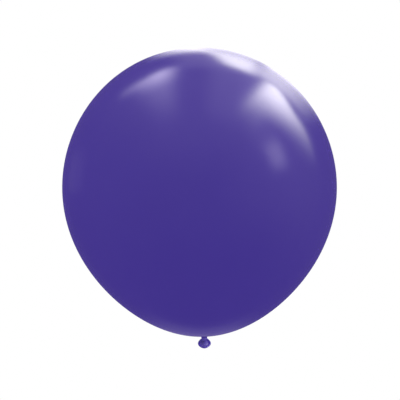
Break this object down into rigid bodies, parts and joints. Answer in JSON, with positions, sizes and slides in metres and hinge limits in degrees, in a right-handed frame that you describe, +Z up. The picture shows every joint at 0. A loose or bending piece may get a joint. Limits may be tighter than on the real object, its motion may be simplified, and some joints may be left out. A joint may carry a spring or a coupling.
{
  "type": "latex balloon",
  "caption": "Round latex balloon, inflated and tied: a thin egg-shaped film body, a pleated neck, an overhand knot, and a short free tail that flares to a rolled lip and bends both ways.",
  "frame": {"origin": "On the balloon's axis in the tie groove, between the body and the knot, where a ribbon is tied.", "axes": "+Z runs up the axis through the crown, +X is to the right seen from the front, and -Y is the front. The tail leans back from it, so its mouth faces down and towards +Y."},
  "size_m": [0.6001, 0.6002, 0.6582],
  "materials": {
    "film": "stretched latex film, glossy and opaque",
    "neck": "gathered latex, satin gloss",
    "knot_inside": "folded latex, satin",
    "knot": "folded latex, satin gloss",
    "stem": "gathered latex, satin gloss",
    "skirt": "unstretched latex, satin gloss",
    "lip": "rolled latex bead, glossy"
  },
  "bodies": {
    "balloon": {"envelope": "film", "neck_gather": "neck", "knot_strand": "knot_inside", "knot_wrap": "knot"},
    "stem": {"tail_stem": "stem"},
    "tail": {"tail_skirt": "skirt", "rolled_lip": "lip"}
  },
  "joints": [
    {"name": "tail_sway", "type": "hinge", "parent": "balloon", "child": "stem", "pos_m": [0, 0, -0.005], "axis": [0, -1, 0], "range_deg": [-15, 15], "stiffness_Nm_per_rad": 0.0004},
    {"name": "tail_flap", "type": "hinge", "parent": "stem", "child": "tail", "pos_m": [0, 0, -0.007], "axis": [1, 0, 0], "range_deg": [-106, 6], "stiffness_Nm_per_rad": 0.0002}
  ]
}
